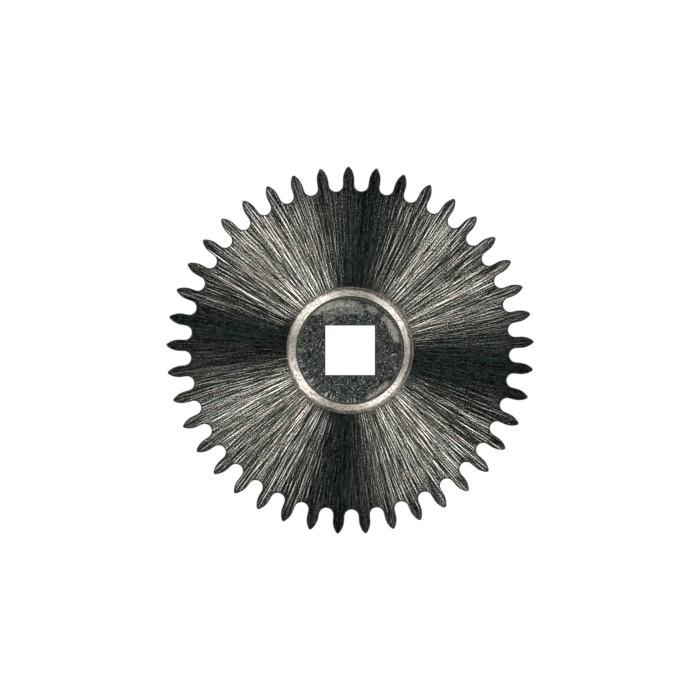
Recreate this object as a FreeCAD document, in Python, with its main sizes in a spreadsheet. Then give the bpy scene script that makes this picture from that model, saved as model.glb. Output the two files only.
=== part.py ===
"""Ratchet wheel of a wristwatch, the toothed wheel that winds the mainspring.

The real wheel is one piece of steel, and this model is made in the same order
as the wheel: a disc is turned with a shallow bevelled sink for the head of its
screw, a square hole is broached through it for the barrel arbor, and the gaps
between the teeth are cut round its rim.

Lengths are in millimetres and angles in degrees. The origin is the middle of
the flat underside, and +Z points towards the brushed face with the sink. X and
Y lie square to the flats of the arbor's hole.
"""
import FreeCAD, Part
import math
import os
import Sketcher

# The driving sizes: alias, value and what it measures.
SIZES = (
    ("wheel_thickness", 0.50, "underside to brushed face"),
    ("tip_diameter", 8.00, "across the tips of the teeth"),
    ("tooth_count", 41, "teeth round the rim"),
    ("first_tooth_angle", 2.69, "from +X to the first tooth's middle"),
    ("tooth_thickness", 0.25, "across the straight flanks of a tooth"),
    ("flank_length", 0.11, "straight part of a flank"),
    ("point_height", 0.28, "curved part of a tooth, up to its tip"),
    ("tip_land", 0.043, "flat left at the tip of a tooth"),
    ("gap_cutter_overrun", 0.01, "reach of the gap cutter past the tips"),
    ("square_across_flats", 1.08, "hole for the barrel arbor"),
    ("sink_floor_diameter", 2.364, "foot of the sink's bevel"),
    ("sink_depth", 0.168, "brushed face down to the sink's floor"),
    ("sink_bevel_angle", 45, "slope of the bevel against the floor"),
    ("sink_lip_radius", 0.09, "rounding where the bevel meets the face"),
    ("relief_width", 0.03, "turned groove at the foot of the bevel"),
)

NODE = "ratchet_wheel"
ORIGIN = (-1, 1)
X_AXIS = (-1,)


def make_sheet(document):
    """Write the driving sizes into a spreadsheet, one aliased cell each."""
    sheet = document.addObject("Spreadsheet::Sheet", "Sizes")
    for row, (alias, number, meaning) in enumerate(SIZES, start=1):
        sheet.set(f"A{row}", alias)
        sheet.set(f"B{row}", str(number))
        sheet.setAlias(f"B{row}", alias)
        sheet.set(f"C{row}", meaning)
    document.recompute()
    return sheet


def make_sketch(body, name, plane_role):
    """Attach a new sketch to one of the body's own origin planes."""
    sketch = body.newObject("Sketcher::SketchObject", name)
    planes = [item for item in body.Origin.OriginFeatures if item.Role == plane_role]
    sketch.AttachmentSupport = (planes[0], [""])
    sketch.MapMode = "FlatFace"
    return sketch


def line(sketch, start, end, construction=False):
    """Add a straight line and return its number."""
    segment = Part.LineSegment(FreeCAD.Vector(*start, 0), FreeCAD.Vector(*end, 0))
    return sketch.addGeometry(segment, construction)


def arc(sketch, centre, start, end):
    """Add the anticlockwise arc about centre from start to end and return its number."""
    radius = math.dist(centre, start)
    circle = Part.Circle(FreeCAD.Vector(*centre, 0), FreeCAD.Vector(0, 0, 1), radius)
    from_angle = math.atan2(start[1] - centre[1], start[0] - centre[0])
    to_angle = math.atan2(end[1] - centre[1], end[0] - centre[0])
    return sketch.addGeometry(Part.ArcOfCircle(circle, from_angle, to_angle), False)


def start_of(edge):
    """Name an edge's start, the way that constraints take it."""
    return edge, 1


def end_of(edge):
    """Name an edge's end."""
    return edge, 2


def centre_of(edge):
    """Name an arc's centre."""
    return edge, 3


def relate(sketch, *relations):
    """Add constraints that hold the sketch's form and carry no size."""
    for relation in relations:
        sketch.addConstraint(Sketcher.Constraint(*relation))


def dimension(sketch, name, expression, *constraint):
    """Add a named size whose value comes from the sheet."""
    number = sketch.addConstraint(Sketcher.Constraint(*constraint))
    sketch.renameConstraint(number, name)
    sketch.setExpression(f"Constraints.{name}", expression)


def turn_blank(body, sheet):
    """Turn the disc, with its sink, lip and relief groove, about the Z axis."""
    rim = sheet.tip_diameter / 2
    top = sheet.wheel_thickness
    floor = top - sheet.sink_depth
    foot = sheet.sink_floor_diameter / 2
    slope = math.radians(sheet.sink_bevel_angle)
    lip = sheet.sink_lip_radius
    lip_middle = foot + sheet.sink_depth / math.tan(slope) + lip * math.tan(slope / 2)
    lip_foot = (lip_middle - lip * math.sin(slope), top - lip + lip * math.cos(slope))
    relief = sheet.relief_width / 2

    sketch = make_sketch(body, "TurnedProfile", "XZ_Plane")
    underside = line(sketch, (0, 0), (rim, 0))
    rim_wall = line(sketch, (rim, 0), (rim, top))
    face = line(sketch, (rim, top), (lip_middle, top))
    lip_arc = arc(sketch, (lip_middle, top - lip), (lip_middle, top), lip_foot)
    bevel = line(sketch, (foot, floor), lip_foot)
    relief_arc = arc(sketch, (foot - relief, floor), (foot - 2 * relief, floor), (foot, floor))
    sink_floor = line(sketch, (foot - 2 * relief, floor), (0, floor))
    axis = line(sketch, (0, floor), (0, 0))
    relate(
        sketch,
        ("Coincident", *start_of(underside), *ORIGIN),
        ("Horizontal", underside),
        ("Coincident", *end_of(underside), *start_of(rim_wall)),
        ("Vertical", rim_wall),
        ("Coincident", *end_of(rim_wall), *start_of(face)),
        ("Horizontal", face),
        ("Tangent", *end_of(face), *start_of(lip_arc)),
        ("Tangent", *end_of(lip_arc), *end_of(bevel)),
        ("Coincident", *start_of(bevel), *end_of(relief_arc)),
        ("Horizontal", *centre_of(relief_arc), *end_of(relief_arc)),
        ("Horizontal", *start_of(relief_arc), *centre_of(relief_arc)),
        ("Coincident", *start_of(relief_arc), *start_of(sink_floor)),
        ("Horizontal", sink_floor),
        ("Coincident", *end_of(sink_floor), *start_of(axis)),
        ("Vertical", axis),
        ("Coincident", *end_of(axis), *start_of(underside)),
    )
    dimension(sketch, "rim_radius", "Sizes.tip_diameter / 2",
              "DistanceX", *ORIGIN, *end_of(underside), rim)
    dimension(sketch, "thickness", "Sizes.wheel_thickness",
              "DistanceY", *start_of(rim_wall), *end_of(rim_wall), top)
    dimension(sketch, "foot_radius", "Sizes.sink_floor_diameter / 2",
              "DistanceX", *ORIGIN, *start_of(bevel), foot)
    dimension(sketch, "depth", "Sizes.sink_depth",
              "DistanceY", *start_of(bevel), *end_of(rim_wall), sheet.sink_depth)
    dimension(sketch, "bevel_angle", "Sizes.sink_bevel_angle * 1 deg",
              "Angle", bevel, slope)
    dimension(sketch, "lip_radius", "Sizes.sink_lip_radius",
              "Radius", lip_arc, lip)
    dimension(sketch, "relief_radius", "Sizes.relief_width / 2",
              "Radius", relief_arc, relief)

    blank = body.newObject("PartDesign::Revolution", "TurnedBlank")
    blank.Profile = sketch
    blank.ReferenceAxis = (sketch, ["V_Axis"])
    blank.Angle = 360
    return blank


def broach_square(body, sheet):
    """Broach the square hole for the barrel arbor through the wheel."""
    half = sheet.square_across_flats / 2
    corners = [(half, half), (-half, half), (-half, -half), (half, -half)]

    sketch = make_sketch(body, "ArborSquare", "XY_Plane")
    sides = [line(sketch, corners[k - 1], corners[k]) for k in range(4)]
    for k in range(4):
        relate(sketch, ("Coincident", *end_of(sides[k - 1]), *start_of(sides[k])))
    relate(
        sketch,
        ("Vertical", sides[0]),
        ("Horizontal", sides[1]),
        ("Vertical", sides[2]),
        ("Horizontal", sides[3]),
        ("Symmetric", *start_of(sides[0]), *start_of(sides[2]), *ORIGIN),
        ("Equal", sides[0], sides[1]),
    )
    dimension(sketch, "across_flats", "Sizes.square_across_flats",
              "DistanceX", *end_of(sides[1]), *start_of(sides[1]), 2 * half)

    square = body.newObject("PartDesign::Pocket", "SquareHole")
    square.Profile = sketch
    square.Type = "ThroughAll"
    square.Reversed = True
    return square


def cut_gap(body, sheet):
    """Cut the gap between the first two teeth.

    The sketch's X axis runs along the middle of the gap, so each tooth beside
    it leans by half a pitch. Seen from the middle of the upper tooth, its flank
    is straight and parallel to that middle line, then bends over in one arc to
    the corner of the tip land. One round bottom touches both flanks, so its
    radius follows from the other sizes.
    """
    rim = sheet.tip_diameter / 2
    lean = math.pi / sheet.tooth_count
    half_tooth = sheet.tooth_thickness / 2
    half_land = sheet.tip_land / 2
    overrun = sheet.gap_cutter_overrun
    shoulder = rim - sheet.point_height
    flank_foot = shoulder - sheet.flank_length
    tip_rise = math.sqrt(rim ** 2 - half_land ** 2) - shoulder
    narrowing = half_tooth - half_land
    point_radius = (tip_rise ** 2 + narrowing ** 2) / (2 * narrowing)

    def beside_tooth(along, across):
        """Turn a place measured from the upper tooth's middle line into the sketch."""
        return (along * math.cos(lean) + across * math.sin(lean),
                along * math.sin(lean) - across * math.cos(lean))

    def mirrored(place):
        """Give the place on the other side of the gap."""
        return (place[0], -place[1])

    def end_on_circle(radius):
        """Give where the upper tooth's arc crosses a circle about the wheel's axis."""
        middle = beside_tooth(shoulder, half_tooth - point_radius)
        reach = math.hypot(*middle)
        cosine = (reach ** 2 + radius ** 2 - point_radius ** 2) / (2 * reach * radius)
        angle = math.atan2(middle[1], middle[0]) - math.acos(cosine)
        return (radius * math.cos(angle), radius * math.sin(angle))

    upper_foot = beside_tooth(flank_foot, half_tooth)
    upper_shoulder = beside_tooth(shoulder, half_tooth)
    point_middle = beside_tooth(shoulder, half_tooth - point_radius)
    upper_end = end_on_circle(rim + overrun)
    land_corner = end_on_circle(rim)
    bottom_middle = (flank_foot / math.cos(lean), 0)

    sketch = make_sketch(body, "GapProfile", "XY_Plane")
    sketch.setExpression("AttachmentOffset.Rotation.Angle",
                         "(Sizes.first_tooth_angle + 180 / Sizes.tooth_count) * 1 deg")
    bottom = sketch.addGeometry(Part.ArcOfCircle(
        Part.Circle(FreeCAD.Vector(*bottom_middle, 0), FreeCAD.Vector(0, 0, 1),
                    math.dist(bottom_middle, upper_foot)),
        math.pi / 2 + lean, 3 * math.pi / 2 - lean), False)
    upper_flank = line(sketch, upper_foot, upper_shoulder)
    lower_flank = line(sketch, mirrored(upper_foot), mirrored(upper_shoulder))
    upper_point = arc(sketch, point_middle, upper_shoulder, upper_end)
    lower_point = arc(sketch, mirrored(point_middle), mirrored(upper_end), mirrored(upper_shoulder))
    closing = arc(sketch, (0, 0), mirrored(upper_end), upper_end)
    tooth_middle = line(sketch, (0, 0), beside_tooth(shoulder, 0), True)
    half_width = line(sketch, beside_tooth(shoulder, 0), upper_shoulder, True)
    corner = sketch.addGeometry(Part.Point(FreeCAD.Vector(*land_corner, 0)), True)
    relate(
        sketch,
        ("Coincident", *start_of(tooth_middle), *ORIGIN),
        ("Coincident", *end_of(tooth_middle), *start_of(half_width)),
        ("Perpendicular", tooth_middle, half_width),
        ("Coincident", *end_of(half_width), *end_of(upper_flank)),
        ("Parallel", upper_flank, tooth_middle),
        ("Tangent", *start_of(upper_flank), *start_of(bottom)),
        ("PointOnObject", *centre_of(bottom), *X_AXIS),
        ("Tangent", *end_of(bottom), *start_of(lower_flank)),
        ("Symmetric", *end_of(upper_flank), *end_of(lower_flank), *X_AXIS),
        ("Tangent", *end_of(upper_flank), *start_of(upper_point)),
        ("PointOnObject", *start_of(corner), upper_point),
        ("Coincident", *end_of(lower_flank), *end_of(lower_point)),
        ("Symmetric", *centre_of(upper_point), *centre_of(lower_point), *X_AXIS),
        ("Coincident", *centre_of(closing), *ORIGIN),
        ("Coincident", *start_of(closing), *start_of(lower_point)),
        ("Coincident", *end_of(closing), *end_of(upper_point)),
    )
    dimension(sketch, "lean", "180 deg / Sizes.tooth_count",
              "Angle", tooth_middle, lean)
    dimension(sketch, "shoulder_radius", "Sizes.tip_diameter / 2 - Sizes.point_height",
              "Distance", tooth_middle, shoulder)
    dimension(sketch, "half_tooth", "Sizes.tooth_thickness / 2",
              "Distance", half_width, half_tooth)
    dimension(sketch, "flank", "Sizes.flank_length",
              "Distance", upper_flank, sheet.flank_length)
    dimension(sketch, "tip_radius", "Sizes.tip_diameter / 2",
              "Distance", *ORIGIN, *start_of(corner), rim)
    dimension(sketch, "half_land", "Sizes.tip_land / 2",
              "Distance", *start_of(corner), tooth_middle, half_land)
    dimension(sketch, "cutter_reach", "Sizes.tip_diameter / 2 + Sizes.gap_cutter_overrun",
              "Radius", closing, rim + overrun)

    gap = body.newObject("PartDesign::Pocket", "ToothGap")
    gap.Profile = sketch
    gap.Type = "ThroughAll"
    gap.Reversed = True
    return gap


def repeat_gap(body, gap):
    """Repeat the gap round the rim, once for each tooth."""
    pattern = body.newObject("PartDesign::PolarPattern", "ToothGaps")
    pattern.Originals = [gap]
    pattern.Axis = (gap.Profile[0], ["N_Axis"])
    pattern.Angle = 360
    pattern.setExpression("Occurrences", "Sizes.tooth_count")
    body.Tip = pattern
    return pattern


def check_document(document, steps):
    """Stop if a feature failed, or if a cut took nothing away from the wheel."""
    for item in document.Objects:
        if "Invalid" in item.State or "Error" in item.State:
            raise RuntimeError(f"{item.Name} failed: {item.State}")
    for before, after in zip(steps, steps[1:]):
        if after.Shape.Volume >= before.Shape.Volume:
            raise RuntimeError(f"{after.Name} cut nothing")


document = FreeCAD.newDocument("RatchetWheel")
sizes = make_sheet(document)
wheel = document.addObject("PartDesign::Body", "Wheel")
wheel.Label = NODE
blank = turn_blank(wheel, sizes)
square_hole = broach_square(wheel, sizes)
tooth_gap = cut_gap(wheel, sizes)
tooth_gaps = repeat_gap(wheel, tooth_gap)
document.recompute()
check_document(document, [blank, square_hole, tooth_gap, tooth_gaps])
wheel.Placement = FreeCAD.Placement()

shape = wheel.Shape
if shape.isNull() or not shape.isValid() or len(shape.Solids) != 1:
    raise RuntimeError("the wheel is not one valid solid")
os.makedirs("parts", exist_ok=True)
shape.exportStep(f"parts/{wheel.Label}.step")
box = shape.BoundBox
print(f"{wheel.Label}: {shape.Volume:.4f} mm3, {box.XLength:.3f} x {box.YLength:.3f} x {box.ZLength:.3f} mm")
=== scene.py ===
"""Looks of a wristwatch's ratchet wheel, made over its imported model.

The wheel is one piece of steel, so it is one mesh here too. The sections follow
the wheel as it is made: its toothed rim, its sink and square hole, the rings
that join them into one body, and then the finish of each surface. The table,
the lamps and the camera come last. The wheel's sizes are in millimetres until
its mesh is written, and those of what stands round it are in metres.
"""
import math

import bpy
import numpy as np
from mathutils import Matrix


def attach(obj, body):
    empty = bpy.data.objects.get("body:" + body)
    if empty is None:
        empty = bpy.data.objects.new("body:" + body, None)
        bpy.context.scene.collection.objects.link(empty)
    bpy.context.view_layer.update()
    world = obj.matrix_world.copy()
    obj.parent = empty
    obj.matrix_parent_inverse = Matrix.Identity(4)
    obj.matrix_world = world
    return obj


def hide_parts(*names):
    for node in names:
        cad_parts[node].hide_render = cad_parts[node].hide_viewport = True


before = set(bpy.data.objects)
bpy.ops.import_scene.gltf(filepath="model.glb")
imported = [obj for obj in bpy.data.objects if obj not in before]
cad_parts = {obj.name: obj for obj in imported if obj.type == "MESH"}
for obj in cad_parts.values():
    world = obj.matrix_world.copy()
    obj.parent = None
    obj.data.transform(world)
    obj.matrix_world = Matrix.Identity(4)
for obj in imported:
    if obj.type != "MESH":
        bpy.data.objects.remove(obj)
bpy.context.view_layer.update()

# The toothed rim. The real wheel is a turned steel disc, and one round-nosed
# cutter took out every gap between its teeth. Brushing the face afterwards
# rounded the edge of each tooth a little, so that edge shows as a dark line,
# which is painted here as shade on the edge and on the face beside it.
MM = 0.001
TOOTH_COUNT = 41
FIRST_TOOTH = math.radians(2.69)
HALF_TOOTH = 0.125
HALF_LAND = 0.0215
POINT_HEIGHT = 0.28
FLANK_LENGTH = 0.11
EDGE_ROUNDING = 0.024
UNDER_EDGE = 0.014
NOSE_STEPS = 3
POINT_STEPS = 8
FLANK_STEPS = 2
GAP_STEPS = 11

wheel_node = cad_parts["ratchet_wheel"]
solid_points = np.empty(len(wheel_node.data.vertices) * 3)
wheel_node.data.vertices.foreach_get("co", solid_points)
solid_points = solid_points.reshape(-1, 3) / MM
face_height = solid_points[:, 2].max()
tip_radius = np.hypot(solid_points[:, 0], solid_points[:, 1]).max()

# The point's arc goes on from the flank without a corner, and a small nose, which
# touches that arc, rounds the tip. The arc of a gap's bottom touches both flanks.
half_pitch = math.pi / TOOTH_COUNT
shoulder = tip_radius - POINT_HEIGHT
flank_foot = shoulder - FLANK_LENGTH
narrowing = HALF_TOOTH - HALF_LAND
point_radius = (POINT_HEIGHT ** 2 + narrowing ** 2) / (2 * narrowing)
point_middle = shoulder + 1j * (HALF_TOOTH - point_radius)
gap_middle = flank_foot / math.cos(half_pitch) * np.exp(1j * half_pitch)
gap_radius = abs(gap_middle - flank_foot - 1j * HALF_TOOTH)
nose_drop = point_radius - POINT_HEIGHT
nose_radius = (point_radius ** 2 - point_middle.imag ** 2 - POINT_HEIGHT ** 2) / (2 * nose_drop)
nose_middle = tip_radius - nose_radius
nose_end = np.angle(nose_middle - point_middle)

nose_turn = np.linspace(0, nose_end, NOSE_STEPS + 1)[:-1]
point_turn = np.linspace(nose_end, math.pi / 2, POINT_STEPS + 1)
flank_share = np.linspace(0, 1, FLANK_STEPS + 1)[1:-1]
gap_turn = np.linspace(math.pi / 2, half_pitch, GAP_STEPS + 1)


def half_tooth(inset):
    """Outline from a tooth's tip to the middle of the next gap, drawn in by inset.

    Places are complex numbers, along the tooth's middle line plus i times across
    it. A round stretch is its centre plus its radius times the direction it faces,
    so drawing the outline in shortens the radius where the tooth bulges and
    lengthens it at the bottom of the gap.
    """
    nose = nose_middle + (nose_radius - inset) * np.exp(1j * nose_turn)
    point = point_middle + (point_radius - inset) * np.exp(1j * point_turn)
    flank = shoulder + (flank_foot - shoulder) * flank_share + 1j * (HALF_TOOTH - inset)
    gap = gap_middle - (gap_radius + inset) * np.exp(1j * gap_turn)
    return np.concatenate([nose, point, flank, gap])


def rim(inset):
    """Whole outline of the wheel, drawn in by inset: the half tooth, mirrored and repeated."""
    half = half_tooth(inset)
    tooth = np.concatenate([half[-2:0:-1].conj(), half])
    turns = np.exp(1j * (FIRST_TOOTH + 2 * half_pitch * np.arange(TOOTH_COUNT)))
    return (turns[:, None] * tooth).ravel()


def depth_behind_rim(plan):
    """How far points lie inside the outline.

    Each is folded into one half tooth. There the depth is the arc's radius less
    the way to its centre at the point, the way to the flank beside it, and the
    way to the gap's centre less its radius below.
    """
    folded = abs((np.angle(plan) - FIRST_TOOTH + half_pitch) % (2 * half_pitch) - half_pitch)
    place = abs(plan) * np.exp(1j * folded)
    return np.select([place.real > shoulder, place.real > flank_foot],
                     [point_radius - abs(place - point_middle), HALF_TOOTH - place.imag],
                     abs(place - gap_middle) - gap_radius)


# The sink and the square hole. The sink is a shallow recess, turned for the head
# of the screw, with a bevel round it, a fine groove at the bevel's foot and a lip
# that the brushing has rounded. The square is broached for the barrel arbor.
SINK_FOOT = 1.182
SINK_DEPTH = 0.168
SINK_SLOPE = math.radians(45)
LIP_RADIUS = 0.09
GROOVE_RADIUS = 0.015
HALF_SQUARE = 0.54
SQUARE_EDGE = 0.012

floor_height = face_height - SINK_DEPTH
lip_middle = SINK_FOOT + SINK_DEPTH / math.tan(SINK_SLOPE) + LIP_RADIUS * math.tan(SINK_SLOPE / 2)
bevel_top = lip_middle - LIP_RADIUS * math.sin(SINK_SLOPE)
groove_inner = SINK_FOOT - 2 * GROOVE_RADIUS

# The points of these rings stand at the angles of those on the face's outer edge,
# and the ones nearest to the square's corners are moved into them.
column = np.angle(rim(EDGE_ROUNDING))
corner_column = column.copy()
for corner in np.radians([-135, -45, 45, 135]):
    corner_column[np.argmin(abs(column - corner))] = corner


def circle(radius):
    """Ring of the same radius all round: the radius times the direction of each column."""
    return radius * np.exp(1j * column)


def square(half):
    """Square ring with its flats along X and Y: half over the larger of |cos| and |sin|."""
    reach = half / np.maximum(abs(np.cos(corner_column)), abs(np.sin(corner_column)))
    return reach * np.exp(1j * corner_column)


# The body. The wheel is one closed skin: rings of points run from the hole out
# along the underside, up the teeth, in over the brushed face, down into the sink
# and back down the hole. Brushing left furrows in the face, about a micron deep.
FURROW_DEPTH = 0.0012
FURROW_COUNT = 40
FURROW_FADE = 0.12
FURROW_SPREAD = 2.5
FURROW_DRIFT = 0.5
FEWEST_WAVES = 60
MOST_WAVES = 420
FURROW_SEED = 41
SUPPORT = 0.006
UNDERSIDE_RINGS = (0.95, 2.2)
ROUNDING_STEPS = 5
LIP_STEPS = 4
GROOVE_STEPS = 4
SHARP_ANGLE = math.radians(40)

# The rings of a surface lie at these shares of the way in from its outer edge.
FACE_SHARES = (0, 0.004, 0.025, 0.05, 0.08, 0.11, 0.15, *np.linspace(0.2, 1, 8)[:-1])
BEVEL_SHARES = (0.05, 0.5, 0.95)
FLOOR_SHARES = (0.01, 0.25, 0.5, 0.75)

random = np.random.default_rng(FURROW_SEED)
furrow_waves = random.integers(FEWEST_WAVES, MOST_WAVES, FURROW_COUNT)
furrow_starts = random.uniform(0, 2 * math.pi, FURROW_COUNT)
furrow_drifts = random.normal(0, FURROW_DRIFT, FURROW_COUNT)


def furrows(plan):
    """Depth of the brushing: cosines of the angle, whole numbers of waves to the turn.

    Each wave's phase drifts a little with the radius. The sum is scaled to lie
    between nothing and FURROW_DEPTH and fades out towards the sink's lip.
    """
    angle, radius = np.angle(plan), abs(plan)
    phase = (furrow_waves[:, None] * angle + furrow_starts[:, None]
             + furrow_drifts[:, None] * radius)
    depth = 0.5 + np.cos(phase).sum(axis=0) / (2 * math.sqrt(FURROW_COUNT) * FURROW_SPREAD)
    fade = np.clip((radius - lip_middle) / FURROW_FADE, 0, 1)
    return FURROW_DEPTH * np.clip(depth, 0, 1) * fade


rings = []
finishes = []


def add_ring(finish, plan, height):
    """Add a ring of points, and name the finish of the band that it begins."""
    rings.append(np.column_stack([plan.real, plan.imag, np.broadcast_to(height, plan.shape)]))
    finishes.append(finish)


def between(inner, outer, share):
    """Ring part of the way from one ring to another."""
    return inner + (outer - inner) * share


def show(name, data):
    """Put a mesh, a lamp or a camera into the scene as an object of this name."""
    shown = bpy.data.objects.new(name, data)
    bpy.context.scene.collection.objects.link(shown)
    return shown


UNDERSIDE, SIDE, EDGE, FACE, BEVEL, FLOOR = range(6)

hole_edge = square(HALF_SQUARE + SQUARE_EDGE)
add_ring(UNDERSIDE, hole_edge, 0)
for radius in UNDERSIDE_RINGS:
    add_ring(UNDERSIDE, circle(radius), 0)
add_ring(UNDERSIDE, rim(UNDER_EDGE + SUPPORT), 0)
add_ring(SIDE, rim(UNDER_EDGE), 0)
add_ring(SIDE, rim(0), UNDER_EDGE)
add_ring(SIDE, rim(0), UNDER_EDGE + SUPPORT)
add_ring(SIDE, rim(0), face_height - EDGE_ROUNDING - SUPPORT)
for turn in np.linspace(0, math.pi / 2, ROUNDING_STEPS + 1)[:-1]:
    add_ring(EDGE, rim(EDGE_ROUNDING * (1 - math.cos(turn))),
             face_height - EDGE_ROUNDING * (1 - math.sin(turn)))
for share in FACE_SHARES:
    plan = between(rim(EDGE_ROUNDING), circle(lip_middle), share)
    add_ring(FACE, plan, face_height - furrows(plan))
for turn in np.linspace(0, SINK_SLOPE, LIP_STEPS + 1):
    add_ring(BEVEL, circle(lip_middle - LIP_RADIUS * math.sin(turn)),
             face_height - LIP_RADIUS * (1 - math.cos(turn)))
for share in BEVEL_SHARES:
    radius = between(bevel_top, SINK_FOOT, share)
    add_ring(BEVEL, circle(radius), floor_height + (radius - SINK_FOOT) * math.tan(SINK_SLOPE))
for turn in np.linspace(0, math.pi, GROOVE_STEPS + 1):
    add_ring(FLOOR, circle(SINK_FOOT - GROOVE_RADIUS * (1 - math.cos(turn))),
             floor_height - GROOVE_RADIUS * math.sin(turn))
for share in FLOOR_SHARES:
    add_ring(FLOOR, between(circle(groove_inner), hole_edge, share), floor_height)
add_ring(EDGE, hole_edge, floor_height)
add_ring(SIDE, square(HALF_SQUARE), floor_height - SQUARE_EDGE)
add_ring(SIDE, square(HALF_SQUARE), SQUARE_EDGE)

columns = len(column)
ring_start = columns * np.arange(len(rings))[:, None]
next_ring = np.roll(ring_start, -1, axis=0)
this_column = np.arange(columns)
next_column = np.roll(this_column, -1)
corners = np.stack([ring_start + this_column, ring_start + next_column,
                    next_ring + next_column, next_ring + this_column], axis=-1)

wheel_mesh = bpy.data.meshes.new("ratchet_wheel_brushed")
wheel_mesh.from_pydata(np.concatenate(rings) * MM, [], corners.reshape(-1, 4))
wheel_mesh.polygons.foreach_set("material_index", np.repeat(finishes, columns).astype(np.int32))
behind_rim = depth_behind_rim(np.concatenate(rings) @ [1, 1j, 0])
wheel_mesh.attributes.new("behind_rim", "FLOAT", "POINT").data.foreach_set("value", behind_rim)
wheel_mesh.shade_smooth()
wheel_mesh.set_sharp_from_angle(angle=SHARP_ANGLE)
wheel = show("ratchet_wheel_brushed", wheel_mesh)
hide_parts("ratchet_wheel")
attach(wheel, "root")

# The underside. It is ground flat and lies hidden against the bridge, so it is
# plain grey steel with faint grinding lines, all one way.
GRINDING_ALONG = 0.8
GRINDING_ACROSS = 20
GROUND_DARK = (0.27, 0.27, 0.26, 1)
GROUND_LIGHT = (0.45, 0.44, 0.42, 1)
GROUND_SPREAD = (-0.3, 0.3)
GROUND_ROUGHNESS = 0.36
OIL_ROUGHNESS = 0.6

# A Mix node takes its two colours at these inputs and gives a colour at this output.
MIX_FIRST, MIX_SECOND, MIX_RESULT = 6, 7, 2


class Signal:
    """What a node gives from place to place. One that is a number can be used in sums."""

    def __init__(self, workings, socket):
        self.workings = workings
        self.socket = socket

    def __add__(self, other):
        return self.workings.maths("ADD", self, other)

    def __sub__(self, other):
        return self.workings.maths("SUBTRACT", self, other)

    def __rsub__(self, other):
        return self.workings.maths("SUBTRACT", other, self)

    def __mul__(self, other):
        return self.workings.maths("MULTIPLY", self, other)

    def __truediv__(self, other):
        return self.workings.maths("DIVIDE", self, other)

    def __rtruediv__(self, other):
        return self.workings.maths("DIVIDE", other, self)

    def __pow__(self, other):
        return self.workings.maths("POWER", self, other)

    def __abs__(self):
        return self.workings.maths("ABSOLUTE", self)

    __radd__ = __add__
    __rmul__ = __mul__


class Workings:
    """The nodes that work out a surface's look, or a room's light."""

    def __init__(self, tree):
        self.nodes = tree.nodes
        self.links = tree.links
        self.nodes.clear()

    def node(self, kind, settings, sockets, output=0):
        """Add a node, with its settings first and then its sockets' values or links."""
        node = self.nodes.new(kind)
        for name, value in settings.items():
            setattr(node, name, value)
        for name, value in sockets.items():
            if isinstance(value, Signal):
                self.links.new(value.socket, node.inputs[name])
            else:
                node.inputs[name].default_value = value
        return Signal(self, node.outputs[output]) if node.outputs else None

    def maths(self, operation, *values):
        return self.node("ShaderNodeMath", {"operation": operation}, dict(enumerate(values)))

    def greatest(self, first, *others):
        """The greatest of some numbers."""
        for other in others:
            first = self.maths("MAXIMUM", first, other)
        return first

    def step(self, value, low, high):
        """0 below low, 1 above high and smooth between; the other way round if low > high."""
        return self.node("ShaderNodeMapRange", {"interpolation_type": "SMOOTHSTEP"},
                         {"Value": value, "From Min": low, "From Max": high})

    def blend(self, share, first, second):
        """Colour part of the way from the first to the second."""
        return self.node("ShaderNodeMix", {"data_type": "RGBA"},
                         {"Factor": share, MIX_FIRST: first, MIX_SECOND: second}, MIX_RESULT)


class Finish(Workings):
    """A surface finish of the wheel: one material, with places on the wheel in millimetres."""

    def __init__(self, name):
        self.material = bpy.data.materials.new(name)
        self.material.use_nodes = True
        super().__init__(self.material.node_tree)
        metres = self.node("ShaderNodeTexCoord", {}, {}, "Object")
        self.place = self.node("ShaderNodeMapping", {}, {"Vector": metres, "Scale": [1 / MM] * 3})
        self.across = self.node("ShaderNodeSeparateXYZ", {}, {"Vector": self.place}, "X")
        self.up = self.node("ShaderNodeSeparateXYZ", {}, {"Vector": self.place}, "Y")
        self.radius = self.vector("LENGTH", self.join(self.across, self.up, 0), output="Value")
        self.along = self.across / self.radius
        self.aside = self.up / self.radius

    def vector(self, operation, *values, output="Vector"):
        return self.node("ShaderNodeVectorMath", {"operation": operation},
                         dict(enumerate(values)), output)

    def join(self, x, y, z):
        return self.node("ShaderNodeCombineXYZ", {}, {"X": x, "Y": y, "Z": z})

    def noise(self, vector, scale, detail=0):
        """Noise about zero, from about -0.5 to 0.5."""
        sockets = {"Vector": vector, "Scale": scale, "Detail": detail}
        return self.node("ShaderNodeTexNoise", {}, sockets) - 0.5

    def shaded(self, noise, spread, dark, light):
        """From the dark colour to the light one, as the noise goes through its spread."""
        return self.blend(self.step(noise, *spread), dark, light)

    def steel(self, colour, roughness, normal=None, anisotropic=0, film=0):
        """End in bare metal with this colour, roughness and normal, under a film of oil."""
        sockets = {"Base Color": colour, "Metallic": 1, "Roughness": roughness,
                   "Anisotropic": anisotropic, "Coat Weight": film, "Coat Roughness": OIL_ROUGHNESS}
        if normal is not None:
            sockets["Normal"] = normal
        metal = self.node("ShaderNodeBsdfPrincipled", {}, sockets)
        self.node("ShaderNodeOutputMaterial", {}, {"Surface": metal})
        return self.material


def underside_finish():
    finish = Finish("ground_underside")
    ground = finish.join(finish.across * GRINDING_ALONG, finish.up * GRINDING_ACROSS, 0)
    lines = finish.noise(ground, scale=1, detail=2)
    colour = finish.shaded(lines, GROUND_SPREAD, GROUND_DARK, GROUND_LIGHT)
    return finish.steel(colour, lines * 0.2 + GROUND_ROUGHNESS)


wheel_mesh.materials.append(underside_finish())

# The flanks of the teeth, the walls of the square hole and the edges under them.
# They are as the cutter and the broach left them, plain grey.
CUT_DARK = (0.11, 0.11, 0.11, 1)
CUT_LIGHT = (0.23, 0.222, 0.207, 1)
CUT_SPREAD = (-0.2, 0.2)
CUT_ROUGHNESS = 0.34


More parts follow.
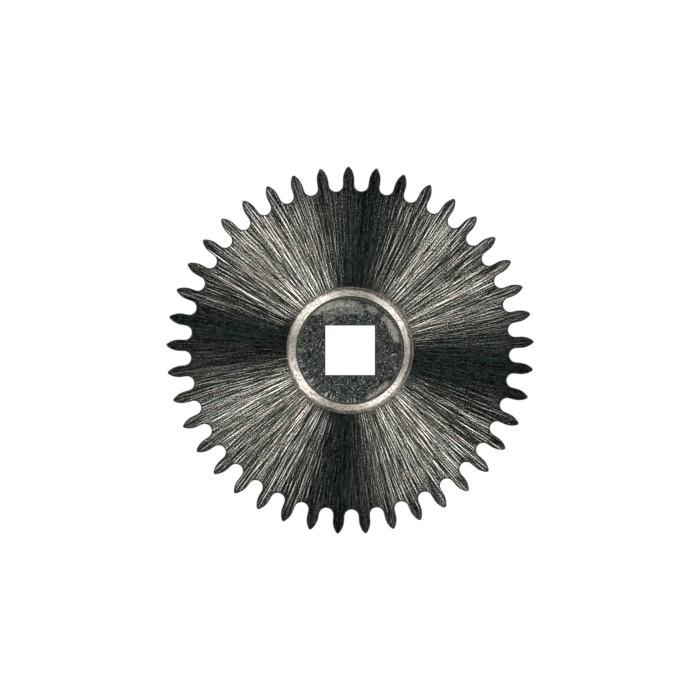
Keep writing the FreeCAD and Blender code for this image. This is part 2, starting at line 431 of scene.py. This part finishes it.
def side_finish():
    finish = Finish("cut_flanks")
    grain = finish.noise(finish.place, scale=22, detail=2)
    colour = finish.shaded(grain, CUT_SPREAD, CUT_DARK, CUT_LIGHT)
    return finish.steel(colour, grain * 0.3 + CUT_ROUGHNESS)


wheel_mesh.materials.append(side_finish())

# The upper edges. Brushing rounded the one round the teeth, and the square's is
# a narrow chamfer. Both turn away from the light, so they are painted nearly black
# as painted shade.
EDGE_SHADE_DARK = (0.012, 0.013, 0.013, 1)
EDGE_SHADE_LIGHT = (0.07, 0.066, 0.063, 1)
EDGE_SPREAD = (-0.1, 0.3)
EDGE_ROUGHNESS = 0.45


def edge_shade_finish():
    finish = Finish("rounded_edge_shade")
    grain = finish.noise(finish.place, scale=20, detail=2)
    # Painted shade: the edges are coloured nearly black.
    colour = finish.shaded(grain, EDGE_SPREAD, EDGE_SHADE_DARK, EDGE_SHADE_LIGHT)
    return finish.steel(colour, EDGE_ROUGHNESS)


wheel_mesh.materials.append(edge_shade_finish())

# The brushed face. It was drawn over abrasive from the middle outwards, so the
# lines run to the tips of the teeth, and each throws light to its sides only.
# Some lines are long and clean, others short, a little askew and broken up.
# The light and dark of the lines is also painted into the colour, as painted reflection.
HAIR_WIDTH = 0.022
HAIR_EDGE = 0.07
STRAIGHT_RADIUS = 2.5
INNER_TO_MIDDLE = (1.8, 2.4)
MIDDLE_TO_OUTER = (2.4, 3.1)
MEAN_TONE = 1.04
LEAST_LINE = 0.15
LEAST_TONE = 0.03
MOST_TONE = 2.15
CONTRAST = 1.75
SHINE_OF_TONE = 0.108
DIMMER_INSIDE = (1.62, 1.42)
INNER_DIMMING = 0.3
DIMMER_OUTSIDE = (2.9, 3.95)
OUTER_DIMMING = 0.54
EDGE_SHADE_REACH = (0.062, 0.028)
EDGE_SHADE_SHARE = 0.85
BLUNT_TIPS = (3.83, 3.95)
BLUNT_SHARE = 0.4
LIP_SHADE_WIDTH = 0.05
LIP_SHADE_SPREAD = (-0.3, 0.3)
WARMTH_SPREAD = (-0.22, 0.22)
LILAC_SPREAD = (0.08, 0.28)
LILAC_SHARE = 0.8
WHITISH_TONES = (1.2, 2.0)
WHITISH_SHARE = 0.6
FACE_ROUGHNESS = 0.23
OIL_FILM = 0.045
UNLIT = (0.001, 0.004, 0.0035, 1)
GREENISH_SHINE = (0.93, 0.97, 0.775, 1)
REDDISH_SHINE = (1.0, 0.835, 0.69, 1)
LILAC_SHINE = (0.96, 0.89, 0.95, 1)
WHITISH_SHINE = (1.0, 0.94, 0.925, 1)
EDGE_SHADE_BLACK = (0.018, 0.02, 0.018, 1)
LIP_SHADE_DARK = (0.03, 0.026, 0.022, 1)
LIP_SHADE_LIGHT = (0.19, 0.160, 0.135, 1)
BLUNT_GREY = (0.036, 0.034, 0.031, 1)

# Sets of lines for the inner, the middle and the outer zone of the face. Each has
# its waves to the radian, its stretch and its skew, as the function lines says.
LONG_LINES = ((52, 0.004, -0.004), (80, 0.003, -0.004), (108, 0.003, 0.004))
THIN_LINES = ((74, 0.026, 0.006), (104, 0.020, 0.012), (146, 0.014, -0.008))


def face_finish():
    finish = Finish("brushed_face")

    def lines(waves, stretch, skew=0, beside=0):
        """Noise read along a circle, with so many waves to the radian.

        Outwards it changes by stretch for each millimetre, so a low one makes long
        lines. They lean by skew from the straight way out, and are read so many
        millimetres beside the place itself.
        """
        lean = (finish.radius - STRAIGHT_RADIUS) * skew + beside / finish.radius
        return finish.noise(finish.join(finish.along - finish.aside * lean,
                                        finish.aside + finish.along * lean,
                                        finish.radius * stretch), waves)

    def furrow_lines(waves, stretch, skew):
        """Lines less the same lines a hair's width aside: their light and dark slopes."""
        return lines(waves, stretch, skew) - lines(waves, stretch, skew, HAIR_WIDTH)

    def hairlines(waves, stretch, skew):
        """Thin lines, where the noise passes through zero."""
        return finish.step(abs(lines(waves, stretch, skew)), HAIR_EDGE, 0)

    def by_zone(kind, inner, middle, outer):
        """Three sets of lines, one to a zone, with more of them where the circle is longer."""
        past_inner = finish.step(finish.radius, *INNER_TO_MIDDLE)
        past_middle = finish.step(finish.radius, *MIDDLE_TO_OUTER)
        return (kind(*inner) * (1 - past_inner)
                + kind(*middle) * (past_inner - past_middle)
                + kind(*outer) * past_middle)

    bundles = lines(waves=17, stretch=0.012)
    wide = lines(waves=32, stretch=0.006, skew=0.004)
    long = by_zone(lines, *LONG_LINES)
    thin = by_zone(furrow_lines, *THIN_LINES)
    broken_up = finish.step(lines(waves=21, stretch=0.02), -0.15, 0.1)
    bright_hairs = hairlines(waves=27, stretch=0.006, skew=0.010) * broken_up
    dark_hairs = hairlines(waves=34, stretch=0.008, skew=-0.008)
    grain = finish.noise(finish.place, scale=38)
    grit = finish.noise(finish.place, scale=29, detail=2)

    # How much each kind of line tilts the metal to its sides.
    slope = bundles * 0.1 + wide * 0.1 + long * 0.4 + thin * 0.35
    sideways = finish.join(finish.aside * -1, finish.along, 0)
    tilt = finish.vector("MULTIPLY", sideways, finish.join(slope, slope, slope))
    facing = finish.node("ShaderNodeNewGeometry", {}, {}, "Normal")
    leaning = finish.vector("NORMALIZE", finish.vector("ADD", facing, tilt))

    # How brightly each kind of line is painted, as painted reflection. The grain is strongest on
    # the bright ones.
    painted_streak_light = (bundles * 1.05 + wide * 1.55 + long * 1.1 + thin * 4.9
            + bright_hairs * 0.5 - dark_hairs * 0.85 + MEAN_TONE)
    painted_streak_light = finish.greatest(painted_streak_light, LEAST_LINE) * (grain * 2 + 1) + grain * 1.3
    painted_streak_light = finish.maths("SMOOTH_MIN", finish.greatest(painted_streak_light, LEAST_TONE), MOST_TONE, 1)
    painted_shine = painted_streak_light ** CONTRAST * SHINE_OF_TONE
    # The painted reflection is dimmer near the sink and towards the teeth.
    painted_shine = painted_shine * (1 - finish.step(finish.radius, *DIMMER_INSIDE) * INNER_DIMMING)
    painted_shine = painted_shine * (1 - finish.step(finish.radius, *DIMMER_OUTSIDE) * OUTER_DIMMING)

    warmth = finish.noise(finish.place, scale=6) * 0.6 + lines(waves=22, stretch=0.05) * 0.7
    lilac = finish.noise(finish.place, scale=5) * 0.6 + lines(waves=30, stretch=0.04) * 0.6
    # Colours of the painted reflection, tinted at random and whiter where brightest, over unlit
    # black.
    painted_shine_colour = finish.shaded(warmth, WARMTH_SPREAD, GREENISH_SHINE, REDDISH_SHINE)
    painted_shine_colour = finish.blend(finish.step(lilac, *LILAC_SPREAD) * LILAC_SHARE, painted_shine_colour, LILAC_SHINE)
    painted_shine_colour = finish.blend(finish.step(painted_streak_light, *WHITISH_TONES) * WHITISH_SHARE, painted_shine_colour, WHITISH_SHINE)
    colour = finish.blend(painted_shine, UNLIT, painted_shine_colour)

    # Painted shade along the teeth's outline and, brownish, round the lip, where the
    # edges round over; and the worn tips.
    behind_edge = finish.node("ShaderNodeAttribute", {"attribute_name": "behind_rim"}, {}, "Fac")
    painted_edge_shade = finish.step(behind_edge + grain * 0.05 + thin * 0.04, *EDGE_SHADE_REACH)
    colour = finish.blend(painted_edge_shade * EDGE_SHADE_SHARE, colour, EDGE_SHADE_BLACK)
    # Painted shade, brownish, on the face where it rounds over into the lip.
    painted_lip_shade = finish.step(finish.radius + long * 0.08 + grain * 0.12,
                         lip_middle + LIP_SHADE_WIDTH, lip_middle)
    lip_shade_colour = finish.shaded(grain, LIP_SHADE_SPREAD, LIP_SHADE_DARK, LIP_SHADE_LIGHT)
    colour = finish.blend(painted_lip_shade, colour, lip_shade_colour)
    blunt = finish.step(finish.radius + grain * 0.2 + warmth * 0.1, *BLUNT_TIPS)
    colour = finish.blend(blunt * BLUNT_SHARE, colour, BLUNT_GREY)
    return finish.steel(colour, thin * 0.1 + FACE_ROUGHNESS, leaning,
                        anisotropic=1, film=grit * 1.4 + OIL_FILM)


wheel_mesh.materials.append(face_finish())

# The bevel round the sink. It is frosted to an even, bright grain, and the lip
# above it is painted a dark brownish shade, a little lower down at the right.
RELIEF = 0.01
LIP_TOP_SHADE_BELOW = 0.026
LIP_TOP_SHADE_ABOVE = 0.014
FROST_DARK = (0.34, 0.305, 0.265, 1)
FROST_LIGHT = (1.0, 0.93, 0.845, 1)
LIP_TOP_SHADE_DARK = (0.02, 0.017, 0.014, 1)
LIP_TOP_SHADE_LIGHT = (0.15, 0.128, 0.108, 1)
FROST_SPREAD = (-0.20, 0.08)
LIP_TOP_SHADE_SPREAD = (-0.2, 0.3)
FROST_ROUGHNESS = 0.34
FROST_RELIEF = 0.6


def relief_of(finish, height, strength):
    """Normal of a surface that rises and falls with the height, by RELIEF at most."""
    return finish.node("ShaderNodeBump", {},
                       {"Strength": strength, "Distance": RELIEF * MM, "Height": height})


def bevel_finish():
    finish = Finish("frosted_bevel")
    grain = finish.noise(finish.place, scale=33, detail=1)
    blotches = finish.noise(finish.place, scale=9, detail=1)
    frost = finish.shaded(grain + blotches * 0.35, FROST_SPREAD, FROST_DARK, FROST_LIGHT)
    lip_top_shade_colour = finish.shaded(grain, LIP_TOP_SHADE_SPREAD, LIP_TOP_SHADE_DARK, LIP_TOP_SHADE_LIGHT)
    # Painted shade, dark brownish, where the lip rounds over.
    lip_top_shade = finish.step(finish.radius + grain * 0.07 + blotches * 0.07 + finish.along * 0.012,
                       bevel_top - LIP_TOP_SHADE_BELOW, bevel_top + LIP_TOP_SHADE_ABOVE)
    colour = finish.blend(lip_top_shade, frost, lip_top_shade_colour)
    return finish.steel(colour, FROST_ROUGHNESS, relief_of(finish, grain, FROST_RELIEF))


wheel_mesh.materials.append(bevel_finish())

# The sink's floor. It is dark, and the screw's head has rubbed grey patches on
# it; it is dotted with small marks and short scratches, and at its lower left
# edge a row of short ticks points outwards. The groove round it is painted
# black, for dirt and painted shade in it.
FLOOR_SPREAD = (-0.26, 0.26)
FLOOR_ROUGHNESS = 0.46
FLOOR_RELIEF = 0.4
RAGGED_ENDS = 12
RAGGED_SIDES = 0.08
END_SOFTNESS = 4
SIDE_SOFTNESS = 0.03
RUBBED_SPREAD = (-0.30, 0.08)
RUBBED_SHARE = 0.85
SPECK_LEVELS = (0.13, 0.30)
SCRATCH_SOFTNESS = 0.08
TICK_LEVELS = (0.06, 0.16)
TICKS_BEARING = 228
TICKS_REACH = (58, 42)
TICKS_START = (1.02, 1.07)
WORN_RING = (groove_inner - 0.035, groove_inner - 0.015)
WORN_RING_SHARE = 0.5
GROOVE = (groove_inner - 0.008, groove_inner + 0.006)
FLOOR_DARK = (0.004, 0.007, 0.0065, 1)
FLOOR_LIGHT = (0.043, 0.045, 0.042, 1)
RUBBED_GREY = (0.225, 0.214, 0.192, 1)
MARK_LIGHT = (0.44, 0.45, 0.41, 1)
RING_BROWN = (0.085, 0.078, 0.060, 1)
GROOVE_DIRT_AND_SHADE = (0.030, 0.026, 0.020, 1)

# A rubbed patch has its bearing and half its width in degrees, the radius of its
# middle, how much that grows with each degree, half its depth, and a strength.
RUBBED_PATCHES = ((28, 19, 1.03, 0, 0.07, 0.85), (62, 8, 1.01, 0, 0.06, 0.7),
                  (109, 26, 1.05, 0.0028, 0.07, 0.9), (100, 28, 0.90, 0, 0.11, 0.4),
                  (304, 15, 1.085, 0, 0.045, 0.85))

# Scratches have a bearing, how closely they follow each other along it and lie
# beside each other, to the millimetre, and the noise above which they show.
SCRATCHES = ((25, 5, 46, 0.28), (-48, 6, 44, 0.29), (72, 5, 48, 0.28))


def floor_finish():
    finish = Finish("rubbed_floor")
    specks = finish.noise(finish.place, scale=30, detail=1)
    mottle = finish.noise(finish.place, scale=13, detail=1)
    cloud = finish.noise(finish.place, scale=5, detail=2)
    angle = finish.maths("ARCTAN2", finish.up, finish.across) * math.degrees(1)

    def turn_from(bearing):
        """Degrees from a bearing, either way round."""
        return abs(finish.maths("WRAP", angle - bearing, 180, -180))

    def rubbed(bearing, half_width, middle, drift, half_depth, strength):
        """A patch with ragged ends and sides."""
        off_middle = abs(finish.radius - ((angle - bearing) * drift + middle))
        return (finish.step(turn_from(bearing) + cloud * RAGGED_ENDS,
                            half_width + END_SOFTNESS, half_width - END_SOFTNESS)
                * finish.step(off_middle + cloud * RAGGED_SIDES,
                              half_depth + SIDE_SOFTNESS, half_depth - SIDE_SOFTNESS)
                * strength)

    def scratches(bearing, lengthwise, sideways, level):
        """The highest parts of a noise that is drawn out along the bearing."""
        drawn_out = finish.node("ShaderNodeMapping", {"vector_type": "TEXTURE"},
                                {"Vector": finish.place, "Rotation": (0, 0, math.radians(bearing)),
                                 "Scale": (1 / lengthwise, 1 / sideways, 1)})
        return finish.step(finish.noise(drawn_out, scale=1), level, level + SCRATCH_SOFTNESS)

    patches = finish.greatest(*(rubbed(*patch) for patch in RUBBED_PATCHES))
    patches = patches * finish.step(specks * 0.9 + mottle * 0.5, *RUBBED_SPREAD)
    scored = sum(scratches(*kind) for kind in SCRATCHES)
    outward_lines = finish.join(finish.along, finish.aside, finish.radius * 0.03)
    ticks = (finish.step(finish.noise(outward_lines, scale=46), *TICK_LEVELS)
             * finish.step(finish.radius + cloud * 0.2, *TICKS_START)
             * finish.step(turn_from(TICKS_BEARING), *TICKS_REACH))
    marks = finish.greatest(finish.step(specks, *SPECK_LEVELS) * 0.9, scored * 0.55, ticks * 0.5)

    colour = finish.shaded(specks * 1.1 + mottle * 0.7, FLOOR_SPREAD, FLOOR_DARK, FLOOR_LIGHT)
    colour = finish.blend(patches * RUBBED_SHARE, colour, RUBBED_GREY)
    colour = finish.blend(marks, colour, MARK_LIGHT)
    worn_ring = finish.step(finish.radius, *WORN_RING) * WORN_RING_SHARE
    colour = finish.blend(worn_ring, colour, RING_BROWN)
    # The groove is painted black, for dirt and painted shade in it.
    colour = finish.blend(finish.step(finish.radius, *GROOVE), colour, GROOVE_DIRT_AND_SHADE)
    relief = relief_of(finish, specks, FLOOR_RELIEF)
    return finish.steel(colour, specks * 0.2 + FLOOR_ROUGHNESS, relief)


wheel_mesh.materials.append(floor_finish())

# The table under the wheel and the lamps. The wheel lies on white paper that is
# lit from below, with four soft lamps above it, one at each corner. The room is
# white up to a little over the horizon and dark above, as the steel mirrors it.
HALF_PAPER = 0.3
WHITE = (1, 1, 1, 1)
PAPER_BASE = (0.02, 0.02, 0.02, 1)
ROOM_DARK = (0.006, 0.038, 0.036, 1)
WHITE_ENDS = (0.09, 0.13)
LAMP_DISTANCE = 0.12
FROM_OVERHEAD = math.radians(49.5)
LAMP_LENGTH = 0.103
LAMP_LIGHT = 8.35

paper_mesh = bpy.data.meshes.new("paper")
paper_mesh.from_pydata(
    [(-HALF_PAPER, -HALF_PAPER, 0), (HALF_PAPER, -HALF_PAPER, 0),
     (HALF_PAPER, HALF_PAPER, 0), (-HALF_PAPER, HALF_PAPER, 0)], [], [(0, 1, 2, 3)])
paper = show("paper", paper_mesh)
paper_white = bpy.data.materials.new("paper")
paper_white.use_nodes = True
paper_workings = Workings(paper_white.node_tree)
glowing = paper_workings.node("ShaderNodeBsdfPrincipled", {}, {
    "Base Color": PAPER_BASE, "Roughness": 1, "Specular IOR Level": 0,
    "Emission Color": WHITE, "Emission Strength": 1})
paper_workings.node("ShaderNodeOutputMaterial", {}, {"Surface": glowing})
paper_mesh.materials.append(paper_white)

# Each lamp has its bearing in degrees, its width and its share of the light.
for bearing, width, share in ((35, 0.065, 1.09), (127, 0.075, 0.95),
                              (217, 0.065, 1.06), (309, 0.076, 0.96)):
    lamp = bpy.data.lights.new(f"lamp_{bearing}", "AREA")
    lamp.shape = "RECTANGLE"
    lamp.size = width
    lamp.size_y = LAMP_LENGTH
    lamp.energy = LAMP_LIGHT * share * math.pi * width * LAMP_LENGTH
    way = math.radians(bearing)
    lamp_object = show(f"lamp_{bearing}", lamp)
    lamp_object.location = (LAMP_DISTANCE * math.sin(FROM_OVERHEAD) * math.cos(way),
                            LAMP_DISTANCE * math.sin(FROM_OVERHEAD) * math.sin(way),
                            LAMP_DISTANCE * math.cos(FROM_OVERHEAD))
    lamp_object.rotation_euler = (FROM_OVERHEAD, 0, way + math.pi / 2)

world = bpy.data.worlds.new("room")
world.use_nodes = True
room = Workings(world.node_tree)
looking = room.node("ShaderNodeTexCoord", {}, {}, "Generated")
rise = room.node("ShaderNodeSeparateXYZ", {}, {"Vector": looking}, "Z")
room_colour = room.blend(room.step(rise, *WHITE_ENDS), WHITE, ROOM_DARK)
room_light = room.node("ShaderNodeBackground", {}, {"Color": room_colour})
room.node("ShaderNodeOutputWorld", {}, {"Surface": room_light})
bpy.context.scene.world = world

# The camera. It looks straight down the wheel's axis from far enough away that
# the flanks don't show, with the picture's width set by the wheel's size in it.
PICTURE_SIDE = 700
TIP_RADIUS_PIXELS = 183.8
WHEEL_PIXEL = (350.11, 350.30)
HALF_VIEW = math.radians(5)
NEAREST = 0.001

picture_width = PICTURE_SIDE * tip_radius * MM / TIP_RADIUS_PIXELS
camera = bpy.data.cameras.new("camera")
camera.lens_unit = "FOV"
camera.angle = 2 * HALF_VIEW
camera.clip_start = NEAREST
camera.shift_x = (PICTURE_SIDE / 2 - WHEEL_PIXEL[0]) / PICTURE_SIDE
camera.shift_y = (WHEEL_PIXEL[1] - PICTURE_SIDE / 2) / PICTURE_SIDE
camera_object = show("camera", camera)
camera_object.location = (0, 0, face_height * MM + picture_width / 2 / math.tan(HALF_VIEW))
bpy.context.scene.camera = camera_object
bpy.context.scene.view_settings.view_transform = "Standard"
